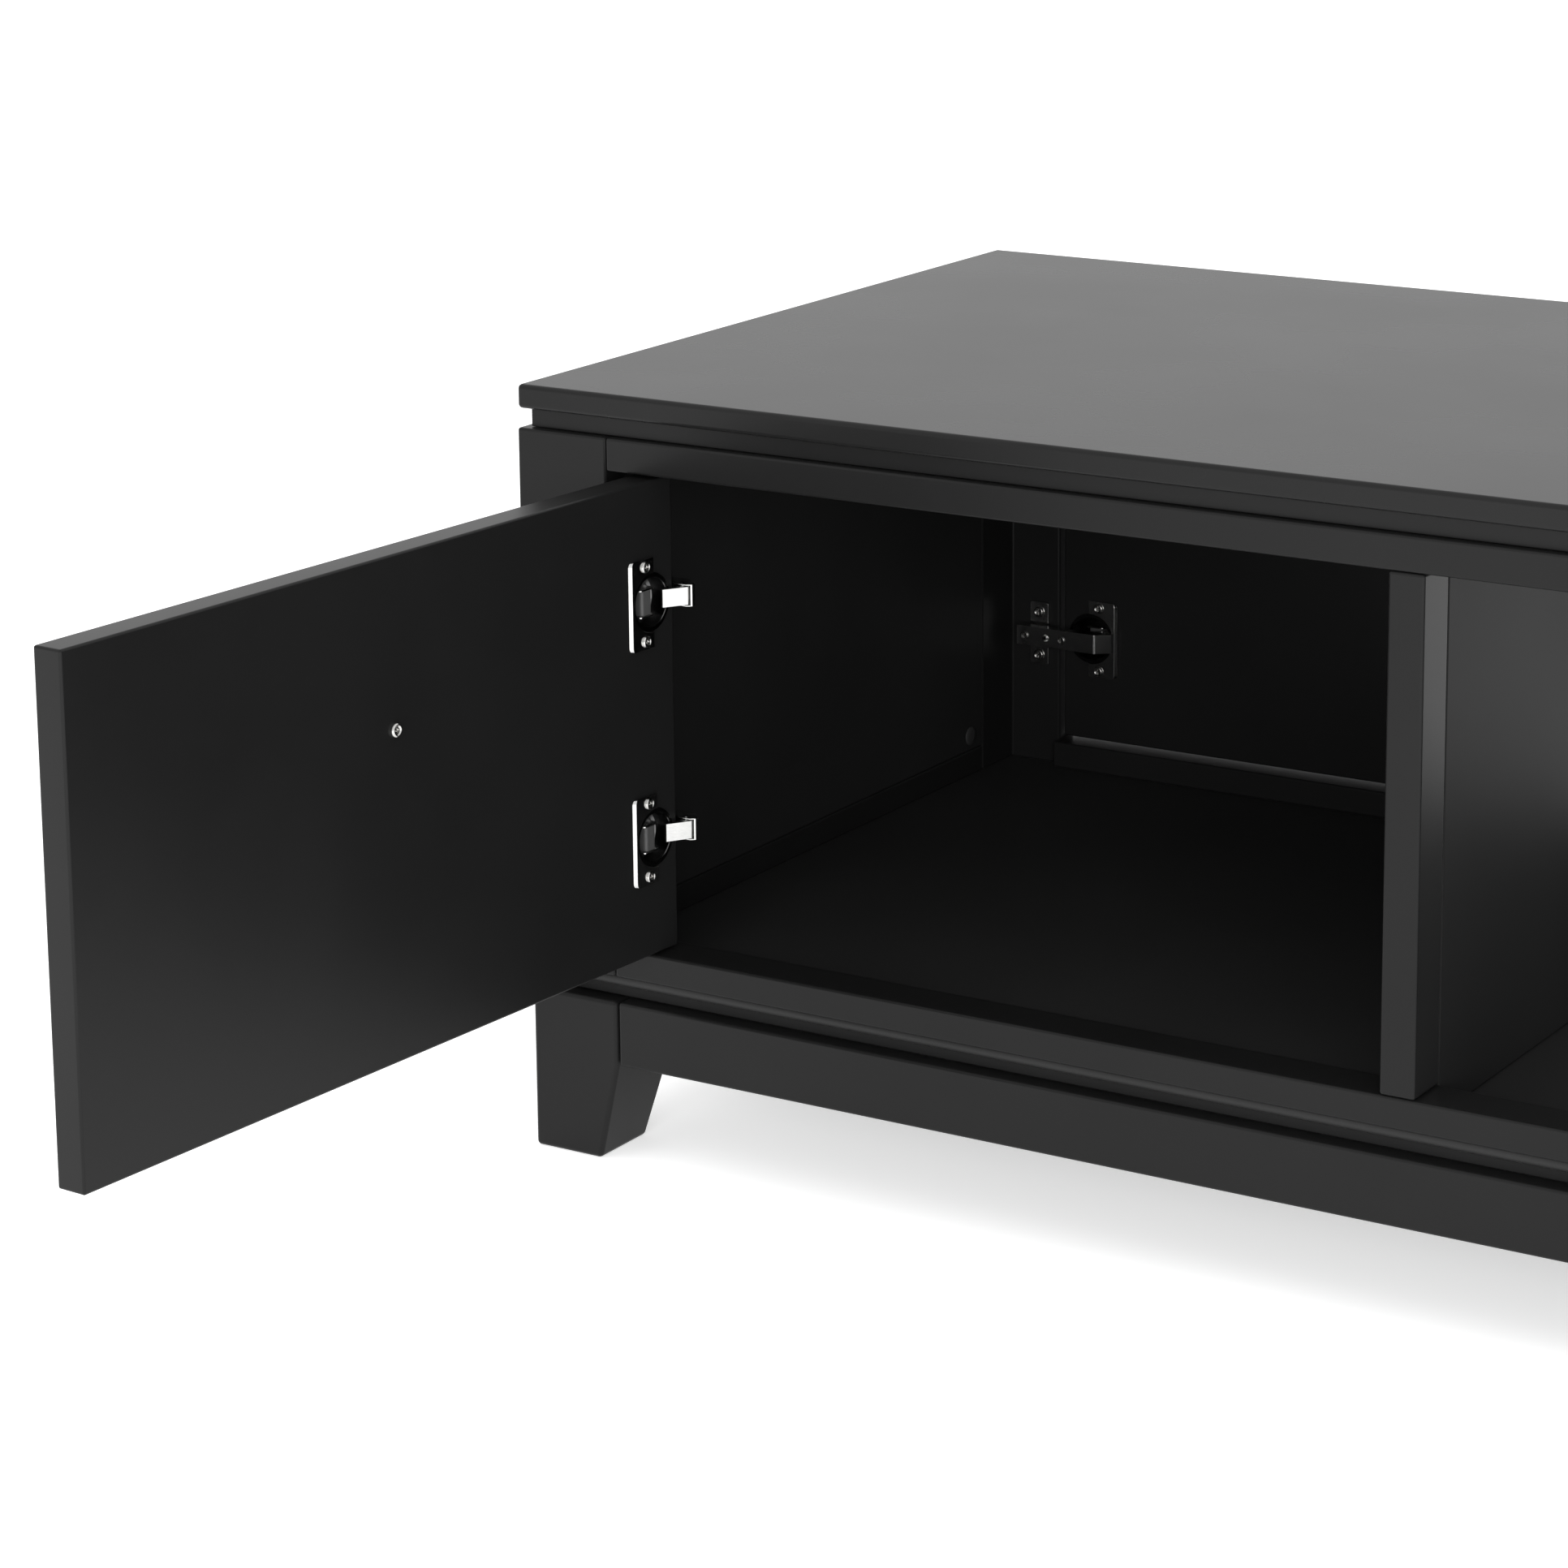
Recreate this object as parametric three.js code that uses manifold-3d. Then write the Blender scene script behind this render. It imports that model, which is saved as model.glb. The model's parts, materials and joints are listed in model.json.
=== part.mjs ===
// Media cabinet: a low black cabinet on four tapered legs. The middle bay is open from front to
// back, and each outer bay has an inset door on the front and another on the rear. Every door turns
// on two concealed cup hinges. The front left door stands open.
//
// Millimetres, +Z up, front towards -Y. The carcass is drawn in its own frame: X is measured from
// the middle of its width, Y from its front face towards the rear, and Z from the floor. The last
// group then shifts it along Y, so that the origin is the middle of the base of the whole object.
import * as THREE from "three";
import { mergeVertices } from "three/addons/utils/BufferGeometryUtils.js";
import Module from "manifold-3d";

const wasm = await Module();
wasm.setup();

// Driving dimensions of the carcass
const WIDTH = 1796;
const DEPTH = 606.7;
const HEIGHT = 508;
const FIT = 0.3;
const SLAB = { thick: 15.7, neck: 12.3, neckInset: 6.6 };
const STILE = { width: 67.4, thick: 23, sideThick: 27 };
const RAIL = { depth: 33.5, topHeight: 21.3, bottomHeight: 19.4 };
const MULLION = { width: 22.7, depth: 33.5, start: 606.2 };
const PANEL = { thick: 19, recess: 8 };
const BOARD = { top: 126.5, thick: 9, inset: 6.6 };
const SPACER = { bottom: 109.3, inset: 13 };
const LEG = { top: 109.3, taperFrom: 65.9, width: 67.4, foot: 51.8, inset: 1.1 };
const APRON = { bottom: 65.9, thick: 20, gap: 1.2 };

// Driving dimensions of the doors, their knobs and their hinges
const DOOR = { gap: 2.5, zGap: 2.3, thick: 20.5, freeGap: 2.5, openDegrees: 93.5 };
const PIVOT = { in: 19.2, back: 5.6 };
const KNOB = { fromTop: 105, base: 7, neck: 5, head: 14, length: 24 };
const HINGE = { fromEnd: 77.5, ratio: -0.8 };
const CUP = { fromEdge: 23.5, radius: 17.3, bore: 17.7, inner: 16, depth: 13.5, wall: 1 };
const RIM = { radius: 19, thick: 0.8 };
const FLANGE = { start: 22, end: 45.5, height: 58, thick: 1.8 };
const ARM = { start: -29, slot: 24, bend: 35, end: 47, top: 37, bottom: 30.2, half: 7.3, wall: 1 };
const NOSE = { slope: 2, chin: 3, cheek: 5, brow: [4.5, 1.5], play: 0.6 };
const PLATE = { at: -15.8, width: 15.6, height: 47.7, thick: 2.5, stand: [-27, -5], standHalf: 6 };

// The link in plan, about its own pin and with its door open at openDegrees. Its outline runs from
// the boss down the back, which passes the rim of the cup, and up the face, which shows in front.
const LINK = {
  pin: [39.8, 25.5],
  boss: 2.4,
  half: 5.9,
  face: [
    [-4, -16.5],
    [5.6, -2],
  ],
  back: [
    [-1.6, -2],
    [-2.2, -10.6],
    [-5.2, -16.2],
  ],
};

const TOP_OF_NECK = HEIGHT - SLAB.thick;
const TOP_OF_FRAME = TOP_OF_NECK - SLAB.neck;
const OPENING_TOP = TOP_OF_FRAME - RAIL.topHeight;
const OPENING_BOTTOM = BOARD.top + RAIL.bottomHeight;
const DOOR_BOTTOM = OPENING_BOTTOM + DOOR.zGap;
const DOOR_TOP = OPENING_TOP - DOOR.zGap;
const DOOR_WIDTH = MULLION.start - STILE.width - DOOR.gap - DOOR.freeGap;
const HINGE_HEIGHTS = { upper: DOOR_TOP - HINGE.fromEnd, lower: DOOR_BOTTOM + HINGE.fromEnd };
const HALF = WIDTH / 2;

const LACQUER = { color: 0x0b0b0c, roughness: 0.34, metalness: 0 };
const NICKEL = { color: 0xb9bbbd, roughness: 0.25, metalness: 1 };

function piece(name, geometry, look) {
  const mesh = new THREE.Mesh(geometry, new THREE.MeshStandardMaterial(look));
  mesh.name = name;
  return mesh;
}

// A box between two corners, in the frame of the group that holds it
function block(low, high) {
  const size = high.map((value, axis) => value - low[axis]);
  const geometry = new THREE.BoxGeometry(...size);
  geometry.translate(...low.map((value, axis) => value + size[axis] / 2));
  return geometry;
}

// An outline in plan, raised between two heights
function raise(points, bottom, top) {
  const shape = new THREE.Shape(points.map(([x, y]) => new THREE.Vector2(x, y)));
  const geometry = new THREE.ExtrudeGeometry(shape, { depth: top - bottom, bevelEnabled: false });
  geometry.translate(0, 0, bottom);
  return geometry;
}

// A round bar along Y at [x, z], between two depths
function bar(x, z, radius, front, back) {
  const segments = 32;
  const geometry = new THREE.CylinderGeometry(radius, radius, back - front, segments);
  geometry.translate(x, (front + back) / 2, z);
  return geometry;
}

function solid(geometry) {
  const bare = geometry.index ? geometry.toNonIndexed() : geometry.clone();
  bare.deleteAttribute("normal");
  bare.deleteAttribute("uv");
  const merged = mergeVertices(bare, 1e-4);
  return new wasm.Manifold(
    new wasm.Mesh({
      numProp: 3,
      vertProperties: merged.attributes.position.array,
      triVerts: new Uint32Array(merged.index.array),
    }),
  );
}

function fromSolid(made) {
  const mesh = made.getMesh();
  const geometry = new THREE.BufferGeometry();
  geometry.setAttribute("position", new THREE.BufferAttribute(mesh.vertProperties, 3));
  geometry.setIndex(new THREE.BufferAttribute(mesh.triVerts, 1));
  geometry.computeVertexNormals();
  return geometry;
}

const join = (...geometries) => geometries.map(solid).reduce((all, next) => all.add(next));

function cut(whole, ...geometries) {
  return geometries.map(solid).reduce((all, next) => all.subtract(next), whole);
}

// The four corners and two sides, as mirrored groups: each is drawn once, for the front left
const SIDES = { left: 1, right: -1 };
const FACES = { front: 1, rear: -1 };

// A group whose local frame starts at the outer front left corner of its own quarter: u runs
// inwards along the width and v inwards from the front or rear face.
function quarter(side, face) {
  const group = new THREE.Group();
  group.scale.set(SIDES[side], FACES[face], 1);
  group.position.set(-HALF * SIDES[side], face === "front" ? 0 : DEPTH, 0);
  return group;
}

function topSlab() {
  return [
    piece("top_slab", block([-HALF, 0, TOP_OF_NECK], [HALF, DEPTH, HEIGHT]), LACQUER),
    piece(
      "top_neck",
      block(
        [-HALF + SLAB.neckInset, SLAB.neckInset, TOP_OF_FRAME + FIT],
        [HALF - SLAB.neckInset, DEPTH - SLAB.neckInset, TOP_OF_NECK - FIT],
      ),
      LACQUER,
    ),
  ];
}

function base() {
  const boardLow = [-HALF + BOARD.inset, BOARD.inset, BOARD.top - BOARD.thick];
  const boardHigh = [HALF - BOARD.inset, DEPTH - BOARD.inset, BOARD.top - FIT];
  const spacerLow = [-HALF + SPACER.inset, SPACER.inset, SPACER.bottom + FIT];
  const spacerHigh = [HALF - SPACER.inset, DEPTH - SPACER.inset, BOARD.top - BOARD.thick - FIT];
  return [
    piece("bottom_board", block(boardLow, boardHigh), LACQUER),
    piece("base_spacer", block(spacerLow, spacerHigh), LACQUER),
  ];
}

function cornerStile(side, face) {
  const { width, thick, sideThick } = STILE;
  const outline = [
    [0, 0],
    [width, 0],
    [width, thick],
    [sideThick, thick],
    [sideThick, width],
    [0, width],
  ];
  return piece(`stile_${face}_${side}`, raise(outline, BOARD.top, TOP_OF_FRAME), LACQUER);
}

// A square post whose two inner faces lean in below the apron
function leg(side, face) {
  const { inset, width, foot, taperFrom, top } = LEG;
  const post = new THREE.BoxGeometry(width - inset, width - inset, top - FIT);
  post.translate((width + inset) / 2, (width + inset) / 2, (top - FIT) / 2);
  const taper = [
    [width, taperFrom],
    [width + FIT, taperFrom],
    [width + FIT, -FIT],
    [inset + foot, -FIT],
    [inset + foot, 0],
  ];
  const reach = width + FIT;
  const wedge = new THREE.ExtrudeGeometry(
    new THREE.Shape(taper.map(([x, z]) => new THREE.Vector2(x, z))),
    { depth: reach, bevelEnabled: false },
  );
  const innerSide = wedge.clone().rotateX(Math.PI / 2).translate(0, reach, 0);
  const innerBack = innerSide.clone().rotateZ(Math.PI / 2).translate(reach, 0, 0);
  return piece(`leg_${face}_${side}`, fromSolid(cut(solid(post), innerSide, innerBack)), LACQUER);
}

function apron(face) {
  const end = HALF - LEG.width - APRON.gap;
  const front = LEG.inset;
  const shape = block([-end, front, APRON.bottom], [end, front + APRON.thick, LEG.top - FIT]);
  return piece(`apron_${face}`, shape, LACQUER);
}

function sideApron(side) {
  const start = LEG.width + APRON.gap;
  const outside = LEG.inset;
  const shape = block(
    [outside, start, APRON.bottom],
    [outside + APRON.thick, DEPTH - start, LEG.top - FIT],
  );
  return piece(`apron_${side}`, shape, LACQUER);
}

function rails(face) {
  const end = HALF - STILE.width - FIT;
  const top = block([-end, 0, OPENING_TOP], [end, RAIL.depth, TOP_OF_FRAME]);
  const bottom = block([-end, 0, BOARD.top], [end, RAIL.depth, OPENING_BOTTOM]);
  return [piece(`rail_top_${face}`, top, LACQUER), piece(`rail_bottom_${face}`, bottom, LACQUER)];
}

function mullion(side, face) {
  const start = MULLION.start;
  const shape = block(
    [start, 0, OPENING_BOTTOM + FIT],
    [start + MULLION.width, MULLION.depth, OPENING_TOP - FIT],
  );
  return piece(`mullion_${face}_${side}`, shape, LACQUER);
}

// A side panel with its own rails, which are flush with the stiles outside
function sidePanel(side) {
  const front = STILE.width + FIT;
  const back = DEPTH - STILE.width - FIT;
  const inner = STILE.sideThick;
  const panel = block([inner - PANEL.thick, front, BOARD.top], [inner, back, TOP_OF_FRAME]);
  const topRail = block([0, front, OPENING_TOP], [inner, back, TOP_OF_FRAME]);
  const bottomRail = block([0, front, BOARD.top], [inner, back, OPENING_BOTTOM]);
  return piece(`side_panel_${side}`, fromSolid(join(panel, topRail, bottomRail)), LACQUER);
}

function partition(side) {
  const end = MULLION.start + MULLION.width;
  const shape = block(
    [end - PANEL.thick, MULLION.depth + FIT, BOARD.top],
    [end, DEPTH - MULLION.depth - FIT, TOP_OF_FRAME],
  );
  return piece(`partition_${side}`, shape, LACQUER);
}

// The door is drawn shut: u runs from the opening's hinge edge, v from the face
function door(label) {
  const { gap, thick } = DOOR;
  const board = block([gap, 0, DOOR_BOTTOM], [gap + DOOR_WIDTH, thick, DOOR_TOP]);
  const bores = Object.values(HINGE_HEIGHTS).map((z) =>
    bar(gap + CUP.fromEdge, z, CUP.bore, thick - CUP.depth - FIT, thick + FIT),
  );
  return piece(`door_${label}`, fromSolid(cut(solid(board), ...bores)), LACQUER);
}

function knob(label) {
  const { base: foot, neck, head, length } = KNOB;
  const profile = [
    [0, FIT],
    [foot, FIT],
    [neck, length * 0.2],
    [neck, length * 0.5],
    [head * 0.86, length * 0.66],
    [head, length * 0.78],
    [head * 0.9, length * 0.9],
    [head * 0.6, length * 0.98],
    [0, length],
  ].map(([r, y]) => new THREE.Vector2(r, y));
  const segments = 28;
  const geometry = new THREE.LatheGeometry(profile, segments);
  geometry.rotateX(Math.PI);
  geometry.translate(DOOR.gap + DOOR_WIDTH / 2, 0, DOOR_TOP - KNOB.fromTop);
  return piece(`knob_${label}`, geometry, NICKEL);
}

// Cup pressed into the door: a thin rim round its mouth, and on its far side a flange that two
// screws hold to the door's inner face
function hingeCup(label, z) {
  const { gap, thick } = DOOR;
  const centre = gap + CUP.fromEdge;
  const bottom = thick - CUP.depth;
  const seat = thick + FIT;
  const top = seat + FLANGE.thick;
  const flange = block(
    [gap + FLANGE.start, seat, z - FLANGE.height / 2],
    [gap + FLANGE.end, top, z + FLANGE.height / 2],
  );
  const shell = join(
    bar(centre, z, CUP.radius, bottom, seat + RIM.thick),
    bar(centre, z, RIM.radius, seat, seat + RIM.thick),
    flange,
  );
  const hollow = bar(centre, z, CUP.inner, bottom + CUP.wall, top + FIT);
  return piece(`hinge_cup_${label}`, fromSolid(cut(shell, hollow)), NICKEL);
}

// Arm and its cross-shaped mounting plate, screwed to the rear of the corner stile. The arm is a
// channel from ARM.slot on, and its nose bends down over the link's pin.
function hingeArm(label, z) {
  const seat = STILE.thick + FIT;
  const { at, width, height, thick, stand, standHalf } = PLATE;
  const wings = block(
    [at - width / 2, seat, z - height / 2],
    [at + width / 2, seat + thick, z + height / 2],
  );
  const support = block(
    [stand[0], seat, z - standHalf],
    [stand[1], ARM.bottom + ARM.wall, z + standHalf],
  );
  const pinHeight = LINK.pin[1];
  const outline = [
    [ARM.start, ARM.bottom],
    [ARM.slot, ARM.bottom],
    [ARM.bend - NOSE.slope, pinHeight],
    [ARM.bend, pinHeight - LINK.boss],
    [ARM.end - NOSE.chin, pinHeight - LINK.boss],
    [ARM.end, pinHeight],
    [ARM.end, pinHeight + NOSE.cheek],
    [ARM.bend + NOSE.brow[0], ARM.top - NOSE.brow[1]],
    [ARM.bend, ARM.top],
    [ARM.start, ARM.top],
  ];
  const beam = raise(outline, z - ARM.half, z + ARM.half);
  const slotHalf = ARM.half - ARM.wall;
  const slot = block(
    [ARM.slot, 0, z - slotHalf],
    [ARM.end - ARM.wall, pinHeight + LINK.boss + NOSE.play, z + slotHalf],
  );
  return piece(`hinge_arm_${label}`, fromSolid(cut(join(wings, support, beam), slot)), NICKEL);
}

// Plan of the link between the arm's nose and the cup. Its cup end runs free inside the cup.
function linkOutline() {
  const steps = 12;
  const round = Array.from({ length: steps + 1 }, (_, i) => {
    const angle = (Math.PI * i) / steps;
    return [LINK.boss * Math.cos(angle), LINK.boss * Math.sin(angle)];
  });
  return [...round, ...LINK.back, ...LINK.face];
}

function hingeLink(label, z) {
  const shape = raise(linkOutline(), z - LINK.half, z + LINK.half);
  return piece(`hinge_link_${label}`, shape, NICKEL);
}

// One door with its knob and hinges. The door turns about PIVOT, and each link about its own pin
// in the arm's nose, by HINGE.ratio of the door's angle.
function doorSet(side, face, openDegrees) {
  const corner = quarter(side, face);
  const opening = new THREE.Group();
  opening.position.set(STILE.width, 0, 0);
  const swing = new THREE.Group();
  swing.position.set(PIVOT.in, PIVOT.back, 0);
  swing.rotation.z = THREE.MathUtils.degToRad(-openDegrees);
  const leaf = new THREE.Group();
  leaf.position.set(-PIVOT.in, -PIVOT.back, 0);
  const label = `${face}_${side}`;
  leaf.add(door(label), knob(label));
  swing.add(leaf);
  opening.add(swing);
  for (const [level, z] of Object.entries(HINGE_HEIGHTS)) {
    const full = `${label}_${level}`;
    leaf.add(hingeCup(full, z));
    opening.add(hingeArm(full, z));
    const link = hingeLink(full, z);
    link.position.set(LINK.pin[0], LINK.pin[1], 0);
    const folded = HINGE.ratio * (DOOR.openDegrees - openDegrees);
    link.rotation.z = THREE.MathUtils.degToRad(folded);
    opening.add(link);
  }
  corner.add(opening);
  return corner;
}

const carcass = new THREE.Group();
carcass.add(...topSlab(), ...base());
for (const face of Object.keys(FACES)) {
  const across = new THREE.Group();
  across.scale.y = FACES[face];
  across.position.y = face === "front" ? 0 : DEPTH;
  across.add(...rails(face), apron(face));
  carcass.add(across);
  for (const side of Object.keys(SIDES)) {
    const corner = quarter(side, face);
    corner.add(cornerStile(side, face), leg(side, face), mullion(side, face));
    carcass.add(corner);
    const isOpen = face === "front" && side === "left";
    carcass.add(doorSet(side, face, isOpen ? DOOR.openDegrees : 0));
  }
}
for (const side of Object.keys(SIDES)) {
  const half = quarter(side, "front");
  half.add(sidePanel(side), partition(side), sideApron(side));
  carcass.add(half);
}

// The open door's free corner is the foremost point, and a rear knob's head the rearmost
const openAngle = THREE.MathUtils.degToRad(DOOR.openDegrees);
const reachOut = DOOR.gap + DOOR_WIDTH - PIVOT.in;
const foremost = PIVOT.back - reachOut * Math.sin(openAngle) - PIVOT.back * Math.cos(openAngle);
const rearmost = DEPTH + KNOB.length;

const cabinet = new THREE.Group();
carcass.position.y = -(foremost + rearmost) / 2;
cabinet.add(carcass);
export default cabinet;
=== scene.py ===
"""Looks of the media cabinet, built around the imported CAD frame.

Metres, +Z up, front towards -Y. Every wooden and metal piece is modelled here at the place and
size that the frame gives, with eased edges, screws and cover caps, and rides on its CAD body.
"""

import json
import math

import bmesh
import bpy
from mathutils import Matrix, Vector


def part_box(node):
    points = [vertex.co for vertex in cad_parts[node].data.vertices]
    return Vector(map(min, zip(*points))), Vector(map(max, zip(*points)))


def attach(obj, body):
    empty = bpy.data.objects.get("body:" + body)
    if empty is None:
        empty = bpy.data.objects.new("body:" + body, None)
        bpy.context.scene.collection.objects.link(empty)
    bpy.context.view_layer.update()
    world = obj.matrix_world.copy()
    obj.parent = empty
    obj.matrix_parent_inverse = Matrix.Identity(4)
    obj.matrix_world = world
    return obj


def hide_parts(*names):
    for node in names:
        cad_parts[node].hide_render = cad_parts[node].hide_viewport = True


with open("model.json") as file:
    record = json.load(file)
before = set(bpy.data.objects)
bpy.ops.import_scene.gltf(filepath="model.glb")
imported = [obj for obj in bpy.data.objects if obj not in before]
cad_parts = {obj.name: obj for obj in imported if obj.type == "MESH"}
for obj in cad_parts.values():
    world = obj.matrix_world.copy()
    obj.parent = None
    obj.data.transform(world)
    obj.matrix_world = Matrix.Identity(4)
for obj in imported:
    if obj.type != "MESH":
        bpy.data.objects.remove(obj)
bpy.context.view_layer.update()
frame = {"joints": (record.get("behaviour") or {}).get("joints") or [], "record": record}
JOINTS = {joint["name"]: joint for joint in frame["joints"]}
FOLD_RATIO = frame["record"]["behaviour"]["couplings"][0]["ratio"]

MM = 0.001
SIDES = {"left": 1, "right": -1}
FACES = {"front": 1, "rear": -1}
LEVELS = ("upper", "lower")
ENDS = {"top": 1, "bottom": -1}

# Sizes from here to the screw heads are in millimetres.
FIT = 0.3

# Edge roundings of the boards
SLAB_EASE = 3.0
NECK_EASE = 0.5
FRAME_EASE = 1.8
DOOR_EASE = 1.6
LEG_EASE = 3.2
APRON_EASE = 2.2
BAND_EASE = 4.0
HIDDEN_EASE = 1.0

# Edge roundings of the hinges' parts
SHEET_EASE = 0.25
HOUSING_EASE = 0.3
ARM_EASE = 0.45
PLATE_EASE = 0.5

# Carcass
STILE_THICK = 23.0
LEG = {"inset": 1.1, "foot": 51.8, "taper_from": 65.9}
PANEL_RECESS = 8.0
CAP = {"radius": 7.0, "thick": 1.4, "from_end": 86.0, "above_floor": 31.0, "gap": 0.1}

# Doors. The knob is placed from the door's top edge, and the cup with its flange and housing from
# the door's hinge edge.
KNOB = {"from_top": 105.0, "length": 24.0, "head": 14.0, "base": 1.2}
KNOB_SCREW_GAP = 0.1
CUP = {"from_edge": 23.5, "radius": 17.3, "inner": 16.0, "depth": 13.5, "rim": 19.0, "wall": 1.0}
CUP_LIP = 0.35
CUP_CORNER = 1.5
BORE_PLAY = 0.2
RIM_THICK = 0.8
FLANGE = {"start": 22.0, "end": 45.5, "half": 29.0, "thick": 1.8, "corner": 3.5, "bevel": 1.9}
FLANGE_GAP = 0.05
FLANGE_SCREW = {"at": 30.5, "z": 24.0}
HOUSING = {"deep": 12.4, "proud": 0.8, "half": 8.0, "wall": 1.2, "corner": 2.2, "gap": 0.05}
CHEEK = {"start": 19.0, "end": 34.0}
DAMPER = {"start": 21.5, "end": 31.5}

# Hinge arms, plates and links: u runs from the opening's edge inwards along the width, and v from
# the slab's face inwards.
ARM = {"start": -29.0, "slot": 24.0, "bend": 35.0, "end": 47.0, "bottom": 30.2, "top": 37.0}
ARM_HALF = 7.3
ARM_WALL = 1.0

# The arm's nose in plan: how far its chin and cheek slope, the height of its brow, the rounding of
# its bend, and the play between the link's boss and the slot
NOSE = {"chin": 2.0, "cheek": 3.0, "brow": 3.2, "round": 3.5, "bend_out": 0.5, "play": 0.6}
ARM_HOLE = {"at": -4.0, "radius": 2.7}
ARM_SCREWS = {"fixing": -22.0, "side": 9.0}

RIVET = {"pin": 1.5, "head": 2.0, "shoulder": 0.7, "dome": 0.9, "gap": 0.05}
PLATE = {"at": -15.8, "half_width": 7.8, "half_height": 23.85, "thick": 2.5, "screw_z": 16.5}
PLATE_GAP = 0.2
PLATE_CORNER = 1.6
STAND = {"start": -27.0, "end": -5.0, "half": 6.0}
OVERLAP = 0.1

PIN = (39.8, 25.5)
LINK = {"boss": 2.4, "half": 5.9}
LINK_FACE = ((-4.0, -16.5), (5.6, -2.0))
LINK_BACK = ((-1.6, -2.0), (-2.2, -10.6), (-5.2, -16.2))

# Screw heads: radius and height
SCREW_SIZES = {"flange": (3.9, 1.6), "plate": (4.2, 1.8), "arm": (3.4, 1.0), "knob": (4.4, 2.0)}

# Studio: places in metres, angles in degrees, and the camera's lens and sensor in millimetres
CAMERA = {"azimuth": 31.666, "elevation": 12.06, "roll": -0.382, "lens": 103.76, "sensor": 36.0}
CAMERA_PLACE = (0.7647, -2.3322, 1.0502)
CAMERA_SHIFT = (-0.054, -0.2)
FLOOR_HALF = 30.0
FLOOR_THICK = 0.02
FLOOR_GLOW = 0.5
WORLD_LIGHT = 0.95


# ---------------------------------------------------------------- materials


def new_material(name):
    material = bpy.data.materials.new(name)
    material.use_nodes = True
    tree = material.node_tree
    return material, tree, tree.nodes["Principled BSDF"]


def add_noise(tree, scale, detail=2.0, stretch=(1, 1, 1)):
    coords = tree.nodes.new("ShaderNodeTexCoord")
    mapping = tree.nodes.new("ShaderNodeMapping")
    noise = tree.nodes.new("ShaderNodeTexNoise")
    mapping.inputs["Scale"].default_value = stretch
    noise.inputs["Scale"].default_value = scale
    noise.inputs["Detail"].default_value = detail
    tree.links.new(coords.outputs["Object"], mapping.inputs["Vector"])
    tree.links.new(mapping.outputs["Vector"], noise.inputs["Vector"])
    return noise.outputs["Fac"]


def add_range(tree, source, low, high, start=0.3, end=0.7):
    node = tree.nodes.new("ShaderNodeMapRange")
    node.inputs["From Min"].default_value = start
    node.inputs["From Max"].default_value = end
    node.inputs["To Min"].default_value = low
    node.inputs["To Max"].default_value = high
    tree.links.new(source, node.inputs["Value"])
    return node.outputs["Result"]


def add_tint(tree, source, dark, light):
    ramp = tree.nodes.new("ShaderNodeValToRGB")
    ramp.color_ramp.elements[0].position = 0.3
    ramp.color_ramp.elements[1].position = 0.7
    ramp.color_ramp.elements[0].color = (*dark, 1)
    ramp.color_ramp.elements[1].color = (*light, 1)
    tree.links.new(source, ramp.inputs["Fac"])
    return ramp.outputs["Color"]


def add_bump(tree, shader, source, distance, strength):
    bump = tree.nodes.new("ShaderNodeBump")
    bump.inputs["Distance"].default_value = distance
    bump.inputs["Strength"].default_value = strength
    tree.links.new(source, bump.inputs["Height"])
    tree.links.new(bump.outputs["Normal"], shader.inputs["Normal"])


def lacquer(name, dark, light, rough, ior):
    """Sprayed black lacquer: a faint orange peel, and a sheen that varies a little over a board."""
    material, tree, shader = new_material(name)
    cloud = add_noise(tree, 7.0, detail=4.0)
    peel = add_noise(tree, 420.0, detail=1.0)
    tree.links.new(add_tint(tree, cloud, dark, light), shader.inputs["Base Color"])
    tree.links.new(add_range(tree, cloud, *rough), shader.inputs["Roughness"])
    add_bump(tree, shader, peel, 0.03 * MM, 0.12)
    shader.inputs["IOR"].default_value = ior
    return material


def plated(name, dark, light, rough):
    """Bright plated steel with faint drawing marks."""
    material, tree, shader = new_material(name)
    marks = add_noise(tree, 300.0, detail=3.0, stretch=(1, 1, 6))
    tree.links.new(add_tint(tree, marks, dark, light), shader.inputs["Base Color"])
    tree.links.new(add_range(tree, marks, *rough), shader.inputs["Roughness"])
    add_bump(tree, shader, marks, 0.01 * MM, 0.15)
    shader.inputs["Metallic"].default_value = 1.0
    return material


def moulded(name, dark, light, rough):
    """Small moulded plastic cap with a fine grain."""
    material, tree, shader = new_material(name)
    grain = add_noise(tree, 1500.0, detail=2.0)
    tree.links.new(add_tint(tree, grain, dark, light), shader.inputs["Base Color"])
    tree.links.new(add_range(tree, grain, *rough), shader.inputs["Roughness"])
    add_bump(tree, shader, grain, 0.05 * MM, 0.4)
    return material


LACQUER_FRAME = lacquer("lacquer_frame", (0.0080,) * 3, (0.0094,) * 3, (0.30, 0.34), 1.25)
LACQUER_TOP = lacquer("lacquer_top", (0.0085,) * 3, (0.0100,) * 3, (0.265, 0.285), 1.26)
# The inside lacquer is the same black lacquer with a lighter base colour: painted light inside the
# bays, on the side panels, partitions and base spacer.
LACQUER_INSIDE_PAINTED_LIGHT = lacquer("lacquer_inside", (0.0120,) * 3, (0.0145,) * 3, (0.38, 0.42), 1.14)
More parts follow.
